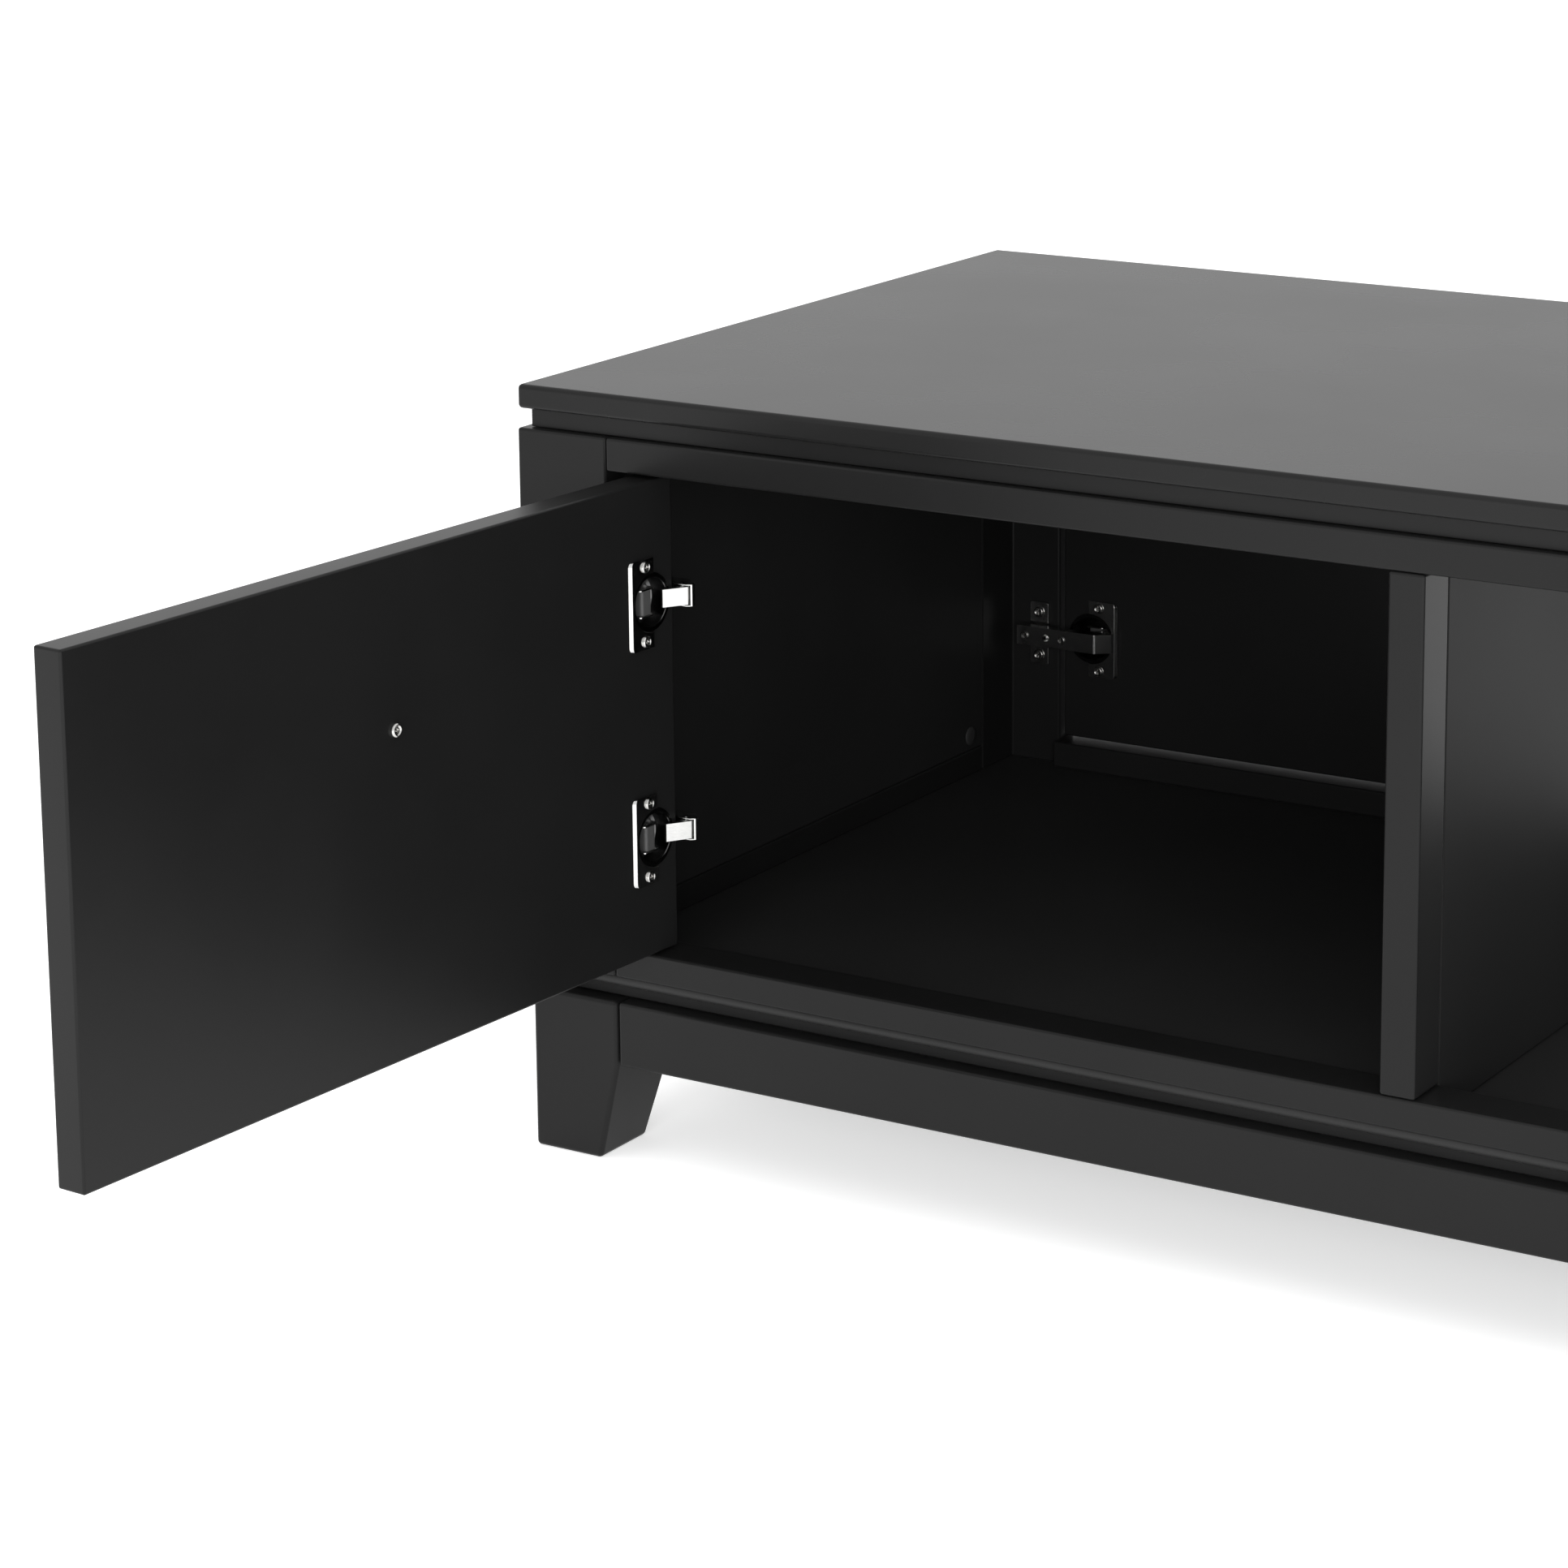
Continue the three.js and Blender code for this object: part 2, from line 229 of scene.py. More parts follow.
# The bottom board's lacquer is the same black lacquer with a lighter base colour still: painted light
# on the bays' floor and on the band below the doors.
LACQUER_BOARD_PAINTED_LIGHT = lacquer("lacquer_board_painted_light", (0.021,) * 3, (0.024,) * 3, (0.34, 0.38), 1.25)
LACQUER_DOOR = lacquer("lacquer_door", (0.0075,) * 3, (0.0090,) * 3, (0.30, 0.34), 1.27)
DARK_ZINC = plated("dark_zinc", (0.10, 0.10, 0.10), (0.14, 0.14, 0.14), (0.16, 0.24))
NICKEL = plated("nickel", (0.62, 0.62, 0.61), (0.74, 0.74, 0.73), (0.13, 0.22))
STEEL = plated("screw_steel", (0.55, 0.55, 0.54), (0.70, 0.69, 0.67), (0.14, 0.24))
GREY_PLASTIC = moulded("grey_plastic", (0.045,) * 3, (0.055,) * 3, (0.40, 0.48))
CAP_PLASTIC = moulded("cap_plastic", (0.020,) * 3, (0.026,) * 3, (0.42, 0.5))


# ---------------------------------------------------------------- mesh helpers


def new_object(name, data):
    made = bpy.data.objects.new(name, data)
    bpy.context.scene.collection.objects.link(made)
    return made


def move_mesh(mesh, matrix):
    """Moves a mesh by a matrix that may mirror it."""
    mesh.transform(matrix)
    if matrix.determinant() < 0:
        mesh.flip_normals()


def keep(bm, name, material, matrix=None, smooth=True):
    """Turns a bmesh into an object, mirrored or turned into place by matrix."""
    bmesh.ops.recalc_face_normals(bm, faces=bm.faces)
    for face in bm.faces:
        face.smooth = smooth
    mesh = bpy.data.meshes.new(name)
    bm.to_mesh(mesh)
    bm.free()
    if matrix is not None:
        move_mesh(mesh, matrix)
    mesh.materials.append(material)
    return new_object(name, mesh)


def weigh_normals(made):
    """Keeps flat faces flat to the eye beside their rounded edges."""
    weighted = made.modifiers.new("weighted_normals", "WEIGHTED_NORMAL")
    weighted.keep_sharp = True
    weighted.weight = 80
    return made


def sharpen(made, degrees):
    """Keeps the edges that turn by more than an angle sharp beside smooth faces."""
    made.data.set_sharp_from_angle(angle=math.radians(degrees))


def ease_edges(bm, ease, segments=4, sharper_than=0.45):
    """Rounds every edge that turns by more than an angle in radians. The ease is in millimetres."""
    edges = [edge for edge in bm.edges if edge.calc_face_angle(0) > sharper_than]
    bmesh.ops.bevel(
        bm,
        geom=edges,
        offset=ease * MM,
        segments=segments,
        profile=0.5,
        affect="EDGES",
        clamp_overlap=True,
    )


def loft(levels):
    """A closed solid through outlines of equal point count, each a list of Vectors."""
    bm = bmesh.new()
    rings = [[bm.verts.new(point) for point in outline] for outline in levels]
    count = len(levels[0])
    bm.faces.new(reversed(rings[0]))
    bm.faces.new(rings[-1])
    for low, high in zip(rings, rings[1:]):
        for i in range(count):
            j = (i + 1) % count
            bm.faces.new((low[i], low[j], high[j], high[i]))
    bmesh.ops.recalc_face_normals(bm, faces=bm.faces)
    return bm


def prism(outline, low, high, axis="z"):
    """An outline raised along z, or an outline of (u, z) points raised along y."""

    def point(a, b, level):
        return Vector((a, b, level)) if axis == "z" else Vector((a, level, b))

    return loft([[point(a, b, level) for a, b in outline] for level in (low, high)])


def rectangle(low_x, low_y, high_x, high_y):
    return [(low_x, low_y), (high_x, low_y), (high_x, high_y), (low_x, high_y)]


def arc(centre, radius, start, end, steps):
    turns = [math.radians(start + (end - start) * i / steps) for i in range(steps + 1)]
    return [(centre[0] + radius * math.cos(t), centre[1] + radius * math.sin(t)) for t in turns]


def rounded_rectangle(low_x, low_y, high_x, high_y, radius, steps=5):
    corners = ((high_x, high_y, 0), (low_x, high_y, 90), (low_x, low_y, 180), (high_x, low_y, 270))
    points = []
    for x, y, turn in corners:
        inset_x = x - radius if x == high_x else x + radius
        inset_y = y - radius if y == high_y else y + radius
        points += arc((inset_x, inset_y), radius, turn, turn + 90, steps)
    return points


def revolve(profile, segments=48):
    """Spins (radius, y) points about the Y axis. The profile starts and ends on the axis."""
    bm = bmesh.new()
    rings = []
    for radius, y in profile:
        if radius == 0:
            rings.append([bm.verts.new((0, y, 0))])
            continue
        turns = [2 * math.pi * i / segments for i in range(segments)]
        rings.append([bm.verts.new((radius * math.cos(t), y, radius * math.sin(t))) for t in turns])
    for low, high in zip(rings, rings[1:]):
        for i in range(segments):
            j = (i + 1) % segments
            corners = [low[i % len(low)], low[j % len(low)], high[j % len(high)], high[i % len(high)]]
            bm.faces.new(list(dict.fromkeys(corners)))
    return bm


def cut_away(made, *cutters):
    """Subtracts the cutters, which are then deleted."""
    for cutter in cutters:
        boolean = made.modifiers.new("cut", "BOOLEAN")
        boolean.operation = "DIFFERENCE"
        boolean.solver = "EXACT"
        boolean.object = cutter
    depsgraph = bpy.context.evaluated_depsgraph_get()
    mesh = bpy.data.meshes.new_from_object(made.evaluated_get(depsgraph))
    made.modifiers.clear()
    made.data = mesh
    for cutter in cutters:
        bpy.data.objects.remove(cutter)


def scaled(values):
    """The same dimensions in metres."""
    return {name: value * MM for name, value in values.items()}


# ---------------------------------------------------------------- boards


def board(name, low, high, ease, material, node=None):
    bm = prism(rectangle(low[0], low[1], high[0], high[1]), low[2], high[2])
    ease_edges(bm, ease)
    made = weigh_normals(keep(bm, name, material))
    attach(made, "carcass")
    if node:
        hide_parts(node)
    return made


def board_for(node, ease, material):
    low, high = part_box(node)
    return board(f"{node}_board", low, high, ease, material, node)


def corner_matrix(side, face):
    """From a quarter's own frame, at the outer corner of the slab, to the CAD frame."""
    low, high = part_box("top_slab")
    x = low.x if side == "left" else high.x
    y = low.y if face == "front" else high.y
    return Matrix.Translation((x, y, 0)) @ Matrix.Diagonal((SIDES[side], FACES[face], 1, 1))


def stile(side, face):
    node = f"stile_{face}_{side}"
    low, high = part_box(node)
    width = high.x - low.x
    panel_low, panel_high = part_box(f"side_panel_{side}")
    side_thick = panel_high.x - panel_low.x
    front_thick = STILE_THICK * MM
    outline = [
        (0, 0),
        (width, 0),
        (width, front_thick),
        (side_thick, front_thick),
        (side_thick, width),
        (0, width),
    ]
    bm = prism(outline, low.z, high.z)
    ease_edges(bm, FRAME_EASE)
    made = keep(bm, f"{node}_post", LACQUER_FRAME, corner_matrix(side, face))
    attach(weigh_normals(made), "carcass")
    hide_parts(node)


def leg(side, face):
    """Square post whose two inner faces lean in towards the foot."""
    node = f"leg_{face}_{side}"
    low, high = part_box(node)
    size = scaled(LEG)
    outer = size["inset"]
    inner = outer + high.x - low.x
    foot = outer + size["foot"]
    ends = ((low.z, foot), (size["taper_from"], inner), (high.z, inner))
    levels = []
    for z, reach in ends:
        square = rectangle(outer, outer, reach, reach)
        levels.append([Vector((x, y, z)) for x, y in square])
    bm = loft(levels)
    ease_edges(bm, LEG_EASE, segments=5)
    made = keep(bm, f"{node}_post", LACQUER_FRAME, corner_matrix(side, face))
    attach(weigh_normals(made), "carcass")
    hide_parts(node)


def side_panel(side):
    """Thin panel between two rails, recessed on the outside."""
    node = f"side_panel_{side}"
    low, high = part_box(node)
    recess = PANEL_RECESS * MM
    rail_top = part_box("rail_top_front")
    rail_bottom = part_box("rail_bottom_front")
    panel_low, panel_high = low.copy(), high.copy()
    if side == "left":
        panel_low.x += recess
    else:
        panel_high.x -= recess
    panel_low.z = rail_bottom[1].z + FIT * MM
    panel_high.z = rail_top[0].z - FIT * MM
    board(f"side_panel_{side}_board", panel_low, panel_high, HIDDEN_EASE, LACQUER_INSIDE_PAINTED_LIGHT, node)
    for label, rail in (("top", rail_top), ("bottom", rail_bottom)):
        rail_low = Vector((low.x, low.y, rail[0].z))
        rail_high = Vector((high.x, high.y, rail[1].z))
        board(f"side_rail_{label}_{side}", rail_low, rail_high, FRAME_EASE, LACQUER_FRAME)


def cover_caps(side):
    """Domed caps over the cam locks, on the inner face of a side panel near its two ends."""
    low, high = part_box(f"side_panel_{side}")
    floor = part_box("bottom_board")[1].z
    inner = high.x if side == "left" else low.x
    inwards = SIDES[side]
    size = scaled(CAP)
    for face in FACES:
        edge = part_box("top_slab")[0].y if face == "front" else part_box("top_slab")[1].y
        y = edge + FACES[face] * size["from_end"]
        profile = [
            (0, size["gap"]),
            (size["radius"], size["gap"]),
            (size["radius"], size["thick"] * 0.5),
            (size["radius"] * 0.92, size["thick"] * 0.9),
            (size["radius"] * 0.45, size["thick"]),
            (0, size["thick"]),
        ]
        turn = Matrix.Rotation(-inwards * math.pi / 2, 4, "Z")
        place = Matrix.Translation((inner, y, floor + size["above_floor"])) @ turn
        made = keep(revolve(profile, 40), f"cam_cover_{face}_{side}", CAP_PLASTIC, place)
        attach(made, "carcass")


def carcass():
    board_for("top_slab", SLAB_EASE, LACQUER_TOP)
    neck_low, neck_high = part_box("top_neck")
    neck_high.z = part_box("top_slab")[0].z
    board("top_neck_board", neck_low, neck_high, NECK_EASE, LACQUER_FRAME, "top_neck")
    board_for("bottom_board", BAND_EASE, LACQUER_BOARD_PAINTED_LIGHT)
    board_for("base_spacer", HIDDEN_EASE, LACQUER_INSIDE_PAINTED_LIGHT)
    for face in FACES:
        board_for(f"rail_top_{face}", FRAME_EASE, LACQUER_FRAME)
        board_for(f"rail_bottom_{face}", FRAME_EASE, LACQUER_FRAME)
        board_for(f"apron_{face}", APRON_EASE, LACQUER_FRAME)
        for side in SIDES:
            board_for(f"mullion_{face}_{side}", FRAME_EASE, LACQUER_FRAME)
            stile(side, face)
            leg(side, face)
    for side in SIDES:
        board_for(f"partition_{side}", HIDDEN_EASE, LACQUER_INSIDE_PAINTED_LIGHT)
        board_for(f"apron_{side}", APRON_EASE, LACQUER_FRAME)
        side_panel(side)
        cover_caps(side)


# ---------------------------------------------------------------- fasteners


def screw_mesh(radius, height):
    """A pan head with a rounded rim, a shallow dish and a cross recess, on y = 0 and facing +y."""
    radius, height = radius * MM, height * MM
    rim = 0.3 * radius
    side = [(radius, 0), (radius, 0.3 * height)]
    crown = [
        (radius - rim + rim * math.cos(t), height * (0.3 + 0.7 * math.sin(t)))
        for t in (math.pi / 8 * i for i in range(1, 5))
    ]
    dish = [(0.55 * radius, 0.72 * height), (0, 0.66 * height)]
    head = keep(revolve([(0, 0), *side, *crown, *dish], 32), "screw_template", STEEL)
    slots = []
    arm, half = radius * 0.48, radius * 0.13
    for long_x, long_z in ((arm, half), (half, arm)):
        outline = rectangle(-long_x, -long_z, long_x, long_z)
        slot = prism(outline, height * 0.15, height * 1.5, axis="y")
        slots.append(keep(slot, "recess", STEEL))
    cut_away(head, *slots)
    sharpen(head, 40)
    mesh = head.data
    bpy.data.objects.remove(head)
    return mesh


def screw(kind, name, matrix, body):
    mesh = SCREWS[kind].copy()
    move_mesh(mesh, matrix)
    made = new_object(name, mesh)
    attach(made, body)


SCREWS = {kind: screw_mesh(*size) for kind, size in SCREW_SIZES.items()}


# ---------------------------------------------------------------- doors and hinges


def rest_opening(side, face):
    """Degrees that a door stands open at rest: its joint's range runs from there to shut."""
    low, high = JOINTS[f"door_{face}_{side}_hinge"]["range_deg"]
    return high if low < 0 < high else 0


def leaf_matrix(side, face):
    """From the shut door's place in its quarter to the CAD frame, open as the door rests."""
    joint = JOINTS[f"door_{face}_{side}_hinge"]
    corner = corner_matrix(side, face)
    pivot = corner.inverted() @ Vector(joint["pos_m"])
    turn = Matrix.Rotation(math.radians(-rest_opening(side, face)), 4, "Z")
    about = Matrix.Translation((pivot.x, pivot.y, 0))
    return corner @ about @ turn @ about.inverted()


def shut_door_box():
    """Lowest and highest corner of a shut door in its quarter's frame, the same in each quarter."""
    low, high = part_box("door_front_right")
    back = corner_matrix("right", "front").inverted()
    ends = [back @ low, back @ high]
    return Vector(map(min, *ends)), Vector(map(max, *ends))


def door(side, face, place):
    label = f"{face}_{side}"
    body = f"door_{label}_body"
    low, high = shut_door_box()
    bm = prism(rectangle(low.x, low.y, high.x, high.y), low.z, high.z)
    ease_edges(bm, DOOR_EASE)
    made = keep(bm, f"door_{label}_leaf", LACQUER_DOOR)
    size = scaled(CUP)
    radius = size["radius"] + BORE_PLAY * MM
    bottom = high.y - size["depth"] - BORE_PLAY * MM
    past_face = high.y + 1 * MM
    profile = [(0, bottom), (radius, bottom), (radius, past_face), (0, past_face)]
    cutters = []
    for level in LEVELS:
        at = Matrix.Translation((low.x + size["from_edge"], 0, hinge_height(label, level)))
        cutters.append(keep(revolve(profile), "bore", LACQUER_DOOR, at))
    cut_away(made, *cutters)
    move_mesh(made.data, place)
    sharpen(made, 35)
    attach(weigh_normals(made), body)
    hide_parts(f"door_{label}")


def hinge_height(label, level):
    low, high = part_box(f"hinge_arm_{label}_{level}")
    return (low.z + high.z) / 2


def knob(side, face, place):
    label = f"{face}_{side}"
    body = f"door_{label}_body"
    low, high = shut_door_box()
    size = scaled(KNOB)
    middle = Vector(((low.x + high.x) / 2, low.y, high.z - size["from_top"]))
    length, head = size["length"], size["head"]
    profile = [
        (0, -FIT * MM),
        (0.52 * head, -FIT * MM),
        (0.52 * head, -size["base"]),
        (0.44 * head, -0.09 * length),
        (0.36 * head, -0.2 * length),
        (0.34 * head, -0.38 * length),
        (0.42 * head, -0.5 * length),
        (0.66 * head, -0.59 * length),
        (0.9 * head, -0.67 * length),
        (0.99 * head, -0.76 * length),
        (0.97 * head, -0.86 * length),
        (0.82 * head, -0.94 * length),
        (0.5 * head, -0.985 * length),
        (0, -length),
    ]
    at = place @ Matrix.Translation(middle)
    made = keep(revolve(profile, 64), f"knob_{label}_turned", NICKEL, at)
    made.modifiers.new("smooth", "SUBSURF").levels = 1
    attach(made, body)
    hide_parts(f"knob_{label}")
    inner = Matrix.Translation((middle.x, high.y + KNOB_SCREW_GAP * MM, middle.z))
    screw("knob", f"knob_screw_{label}", place @ inner, body)


def hinge_cup(label, level, place):
    """The pressed cup with its rim, in the door's bore, then its flange and its housing."""
    low, high = shut_door_box()
    body = f"door_{label}_body"
    size = scaled(CUP)
    z = hinge_height(label, level)
    centre = low.x + size["from_edge"]
    seat = high.y + FIT * MM
    top = seat + RIM_THICK * MM
    bottom = high.y - size["depth"]
    radius, inner, rim, wall = size["radius"], size["inner"], size["rim"], size["wall"]
    lip, corner = CUP_LIP * MM, CUP_CORNER * MM
    profile = [
        (0, bottom),
        (radius - corner, bottom),
        (radius, bottom + corner),
        (radius, seat),
        (rim, seat),
        (rim, top - lip),
        (rim - lip, top),
        (inner + lip, top),
        (inner, top - lip),
        (inner, bottom + wall + corner),
        (inner - corner, bottom + wall),
        (0, bottom + wall),
    ]
    at = place @ Matrix.Translation((centre, 0, z))
    cup = keep(revolve(profile), f"hinge_cup_{label}_{level}_shell", DARK_ZINC, at)
    sharpen(cup, 35)
    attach(cup, body)
    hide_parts(f"hinge_cup_{label}_{level}")
    flange(label, level, place, low.x, centre, z, seat)
    housing(label, level, place, low.x, z, high.y)


def housing(label, level, place, edge, z, face):
    """Two cheeks that stand in the cup, and the damper's grey cover between them."""
    size = scaled(HOUSING)
    cheek, damper = scaled(CHEEK), scaled(DAMPER)
    half, wall, corner, gap = size["half"], size["wall"], size["corner"], size["gap"]
    parts = (
        ("cheek_top", cheek, size["proud"], half, half + wall, NICKEL),
        ("cheek_bottom", cheek, size["proud"], -half - wall, -half, NICKEL),
        ("damper", damper, 0, -half, half, GREY_PLASTIC),
    )
    deep = face - size["deep"]
    for name, span, proud, low, high, material in parts:
        start, end, top = edge + span["start"], edge + span["end"], face + proud
        outline = [
            (start, deep),
            (end, deep),
            *arc((end - corner, top - corner), corner, 0, 90, 6),
            *arc((start + corner, top - corner), corner, 90, 180, 6),
        ]
        bm = prism(outline, z + low + gap, z + high - gap)
        ease_edges(bm, HOUSING_EASE, segments=2)
        made = keep(bm, f"cup_{name}_{label}_{level}", material, place)
        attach(weigh_normals(made), f"door_{label}_body")


def flange(label, level, place, edge, centre, z, seat):
    """Wings that join the cup on its far side, each held by a screw."""
    size = scaled(FLANGE)
    start, end, half = edge + size["start"], edge + size["end"], size["half"]
    clear = (CUP["rim"] + FLANGE_GAP) * MM
    corner = size["corner"]
    reach = math.degrees(math.acos((start - centre) / clear))
    outline = [
        (start, -half),
        *arc((end - corner, -half + corner), corner, -90, 0, 6),
        *arc((end - corner, half - corner), corner, 0, 90, 6),
        (start, half),
        *arc((centre, 0), clear, reach, -reach, 28),
    ]
    bm = prism([(u, w + z) for u, w in outline], seat, seat + size["thick"], axis="y")
    for vertex in bm.verts:
        if vertex.co.y > seat + size["thick"] / 2 and vertex.co.x > end - corner:
            vertex.co.x -= size["bevel"] * (vertex.co.x - end + corner) / corner
    ease_edges(bm, SHEET_EASE, segments=2)
    made = keep(bm, f"hinge_flange_{label}_{level}", NICKEL, place)
    sharpen(made, 50)
    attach(weigh_normals(made), f"door_{label}_body")
    fixing = scaled(FLANGE_SCREW)
    for end_name, sign in ENDS.items():
        spot = (edge + fixing["at"], seat + size["thick"], z + sign * fixing["z"])
        name = f"cup_screw_{label}_{level}_{end_name}"
        screw("flange", name, place @ Matrix.Translation(spot), f"door_{label}_body")


def arm_outline():
    """Plan of the arm: a straight channel whose end bends down to the link's pin."""
    size, nose = scaled(ARM), scaled(NOSE)
    bend, end, top = size["bend"], size["end"], size["top"]
    pin_v = PIN[1] * MM
    chin_v = pin_v - LINK["boss"] * MM
    turn = nose["round"]
    return [
        (size["start"], size["bottom"]),
        (size["slot"], size["bottom"]),
        (bend - nose["chin"], pin_v),
        (bend, chin_v),
        (end - nose["cheek"], chin_v),
        (end, pin_v),
        (end, pin_v + nose["brow"]),
        *arc((bend + nose["bend_out"], top - turn), turn, 50, 90, 5),
        (size["start"], top),
    ]


def arm_channel(z):
    """The slot in the arm's nose, in which the link swings."""
    size = scaled(ARM)
    half, wall = ARM_HALF * MM, ARM_WALL * MM
    top = (PIN[1] + LINK["boss"] + NOSE["play"]) * MM
    outline = rectangle(size["slot"], 0, size["end"] - wall, top)
    return keep(prism(outline, z - half + wall, z + half - wall), "slot", NICKEL)


def arm_hole(z):
    """The screwdriver's way through the arm."""
    low, high = (ARM["bottom"] - 1) * MM, (ARM["top"] + 1) * MM
    size = scaled(ARM_HOLE)
    profile = [(0, low), (size["radius"], low), (size["radius"], high), (0, high)]
    return keep(revolve(profile, 32), "hole", DARK_ZINC, Matrix.Translation((size["at"], 0, z)))


def hinge_arm(label, level, opening, seat):
    """Channel arm, screwed to its cross-shaped plate on the rear of the stile."""
    z = hinge_height(label, level)
    half = ARM_HALF * MM
    arm = keep(prism(arm_outline(), z - half, z + half), f"hinge_arm_{label}_{level}_channel", NICKEL)
    cut_away(arm, arm_channel(z))
    ready = bmesh.new()
    ready.from_mesh(arm.data)
    ease_edges(ready, ARM_EASE, segments=3, sharper_than=0.9)
    ready.to_mesh(arm.data)
    ready.free()
    cut_away(arm, arm_hole(z))
    move_mesh(arm.data, opening)
    for polygon in arm.data.polygons:
        polygon.use_smooth = True
    sharpen(arm, 45)
    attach(weigh_normals(arm), "carcass")
    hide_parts(f"hinge_arm_{label}_{level}")
    for name, u in ARM_SCREWS.items():
        spot = opening @ Matrix.Translation((u * MM, (ARM["top"] - OVERLAP) * MM, z))
        screw("arm", f"arm_screw_{label}_{level}_{name}", spot, "carcass")
    pin = Matrix.Translation((PIN[0] * MM, PIN[1] * MM, z))
    rivet(f"arm_pin_{label}_{level}", opening @ pin)
    mounting_plate(label, level, opening, seat, z)


def rivet(name, matrix):
    """The pin of the arm's nose, with its two domed ends."""
    size = scaled(RIVET)
    radius, head, shoulder, dome = size["pin"], size["head"], size["shoulder"], size["dome"]
    half = ARM_HALF * MM
    flat = half + size["gap"]
    profile = [
        (0, -half - dome),
        (head * 0.7, -half - shoulder),
        (head, -flat),
        (radius, -flat),
        (radius, flat),
        (head, flat),
        (head * 0.7, half + shoulder),
        (0, half + dome),
    ]
    upright = matrix @ Matrix.Rotation(math.pi / 2, 4, "X")
    made = keep(revolve(profile, 24), name, NICKEL, upright)
    sharpen(made, 50)
    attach(made, "carcass")


def mounting_plate(label, level, opening, seat, z):
    """The cross's wings, screwed to the stile, and the block on them that carries the arm."""
    size, stand = scaled(PLATE), scaled(STAND)
    middle, half_width, half_height = size["at"], size["half_width"], size["half_height"]
    base = seat + PLATE_GAP * MM
    top = base + size["thick"]
    wings = rounded_rectangle(
        middle - half_width,
        z - half_height,
        middle + half_width,
        z + half_height,
        PLATE_CORNER * MM,
    )
    block = rectangle(stand["start"], z - stand["half"], stand["end"], z + stand["half"])
    parts = (
        ("hinge_plate", wings, base, top),
        ("hinge_plate_block", block, top - OVERLAP * MM, ARM["bottom"] * MM),
    )
    for name, outline, low, high in parts:
        bm = prism(outline, low, high, axis="y")
        ease_edges(bm, PLATE_EASE, segments=2)
        made = keep(bm, f"{name}_{label}_{level}", NICKEL, opening)
        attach(weigh_normals(made), "carcass")
    for end_name, sign in ENDS.items():
        spot = (middle, top, z + sign * size["screw_z"])
        name = f"plate_screw_{label}_{level}_{end_name}"
        screw("plate", name, opening @ Matrix.Translation(spot), "carcass")


def link_outline():
    """Plan of the link about its pin, with its door as far open as the front left one rests."""
    points = [*arc((0, 0), LINK["boss"], 0, 180, 14), *LINK_BACK, *LINK_FACE]
    return [(x * MM, y * MM) for x, y in points]


def hinge_link(label, level, matrix):
    z = hinge_height(label, level)
    half = LINK["half"] * MM
    bm = prism(link_outline(), z - half, z + half)
    ease_edges(bm, SHEET_EASE, segments=2, sharper_than=0.6)
    made = keep(bm, f"hinge_link_{label}_{level}_plate", NICKEL, matrix)
    sharpen(made, 50)
    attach(weigh_normals(made), f"links_{label}")
    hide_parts(f"hinge_link_{label}_{level}")


def door_set(side, face):
    label = f"{face}_{side}"
    place = leaf_matrix(side, face)
    door(side, face, place)
    knob(side, face, place)
    stile_low, stile_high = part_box(f"stile_{face}_{side}")
    opening = corner_matrix(side, face) @ Matrix.Translation((stile_high.x - stile_low.x, 0, 0))
    shut_by = rest_opening("left", "front") - rest_opening(side, face)
    folded = math.radians(FOLD_RATIO * shut_by)
    pin = Matrix.Translation((PIN[0] * MM, PIN[1] * MM, 0))
    link_place = opening @ pin @ Matrix.Rotation(folded, 4, "Z")
    for level in LEVELS:
        hinge_cup(label, level, place)
        hinge_arm(label, level, opening, STILE_THICK * MM)
        hinge_link(label, level, link_place)


# ---------------------------------------------------------------- camera, floor and light


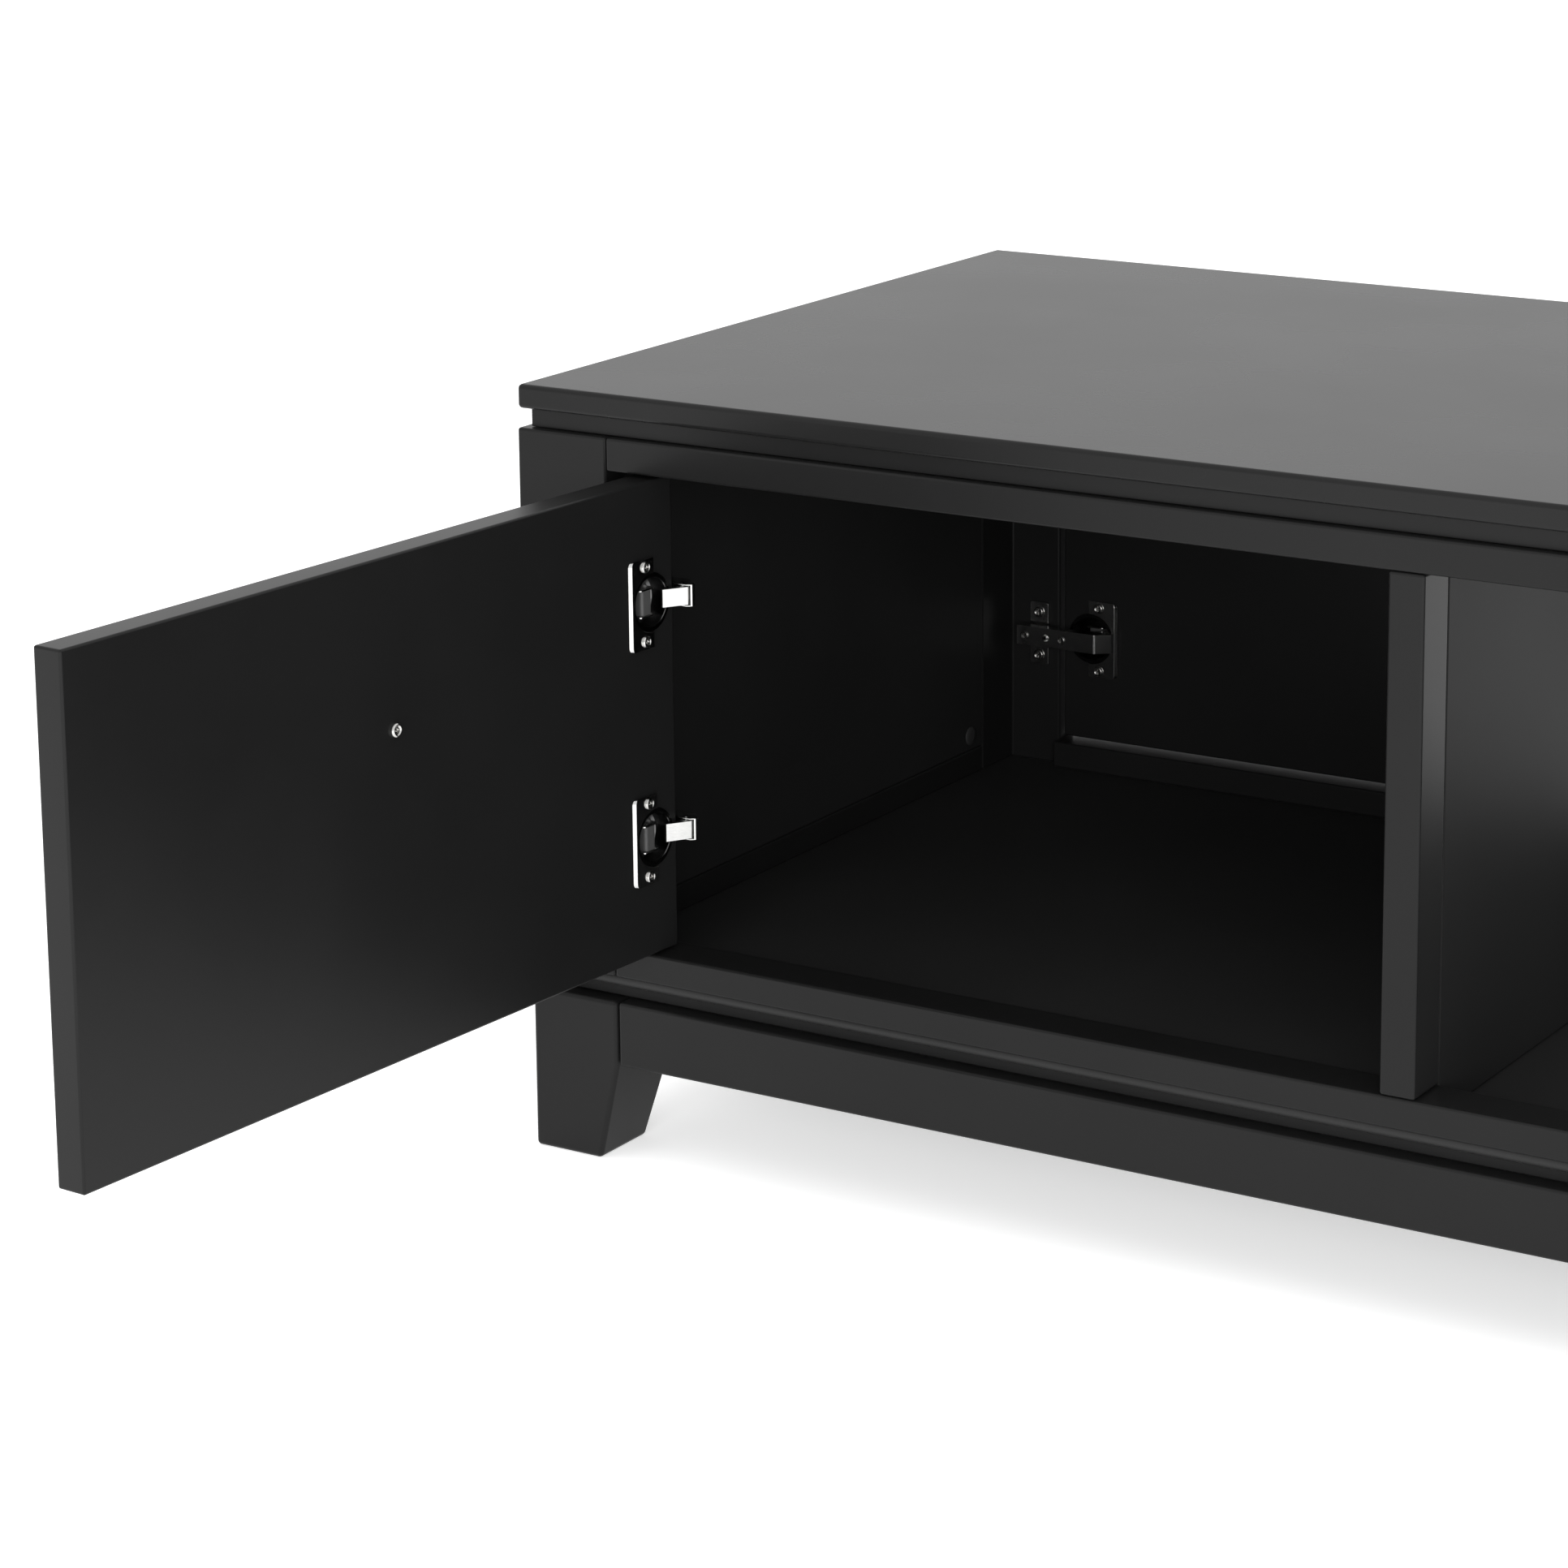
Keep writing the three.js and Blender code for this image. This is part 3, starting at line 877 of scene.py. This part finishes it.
def camera():
    data = bpy.data.cameras.new("camera")
    data.sensor_width = CAMERA["sensor"]
    data.lens = CAMERA["lens"]
    data.shift_x, data.shift_y = CAMERA_SHIFT
    made = new_object("camera", data)
    made.location = CAMERA_PLACE
    azimuth, elevation, roll = (math.radians(CAMERA[a]) for a in ("azimuth", "elevation", "roll"))
    turn = Matrix.Rotation(azimuth, 4, "Z") @ Matrix.Rotation(math.pi / 2 - elevation, 4, "X")
    made.rotation_euler = (turn @ Matrix.Rotation(roll, 4, "Z")).to_euler()
    bpy.context.scene.camera = made


def floor():
    """A plain white floor that glows a little, which keeps the shadow on it light."""
    bm = prism(rectangle(-FLOOR_HALF, -FLOOR_HALF, FLOOR_HALF, FLOOR_HALF), -FLOOR_THICK, 0)
    material, tree, shader = new_material("studio_floor")
    speckle = add_noise(tree, 3.0, detail=2.0)
    tree.links.new(add_tint(tree, speckle, (0.88,) * 3, (0.90,) * 3), shader.inputs["Base Color"])
    shader.inputs["Roughness"].default_value = 0.9
    shader.inputs["Specular IOR Level"].default_value = 0.1
    shader.inputs["Emission Color"].default_value = (1, 1, 1, 1)
    shader.inputs["Emission Strength"].default_value = FLOOR_GLOW
    keep(bm, "floor", material, smooth=False)


def area_light(name, place, target, size, power):
    data = bpy.data.lights.new(name, "AREA")
    data.shape = "RECTANGLE"
    data.size, data.size_y = size
    data.energy = power
    made = new_object(name, data)
    made.location = place
    made.rotation_euler = (Vector(target) - Vector(place)).to_track_quat("-Z", "Y").to_euler()
    # The lacquer mirrors the white room, not the lamps.
    made.visible_glossy = False


def lights():
    world = bpy.data.worlds.new("studio")
    bpy.context.scene.world = world
    world.use_nodes = True
    background = world.node_tree.nodes["Background"]
    background.inputs["Color"].default_value = (1, 1, 1, 1)
    background.inputs["Strength"].default_value = WORLD_LIGHT
    area_light(
        "overhead",
        place=(0.2, -0.4, 3.4),
        target=(0.2, -0.4, 0),
        size=(6.0, 5.0),
        power=60,
    )
    area_light(
        "front_softbox",
        place=(1.6, -4.2, 1.3),
        target=(-0.4, 0.2, 0.25),
        size=(4.0, 2.0),
        power=180,
    )
    bpy.context.scene.view_settings.view_transform = "Standard"


camera()
carcass()
for face_name in FACES:
    for side_name in SIDES:
        door_set(side_name, face_name)
floor()
lights()
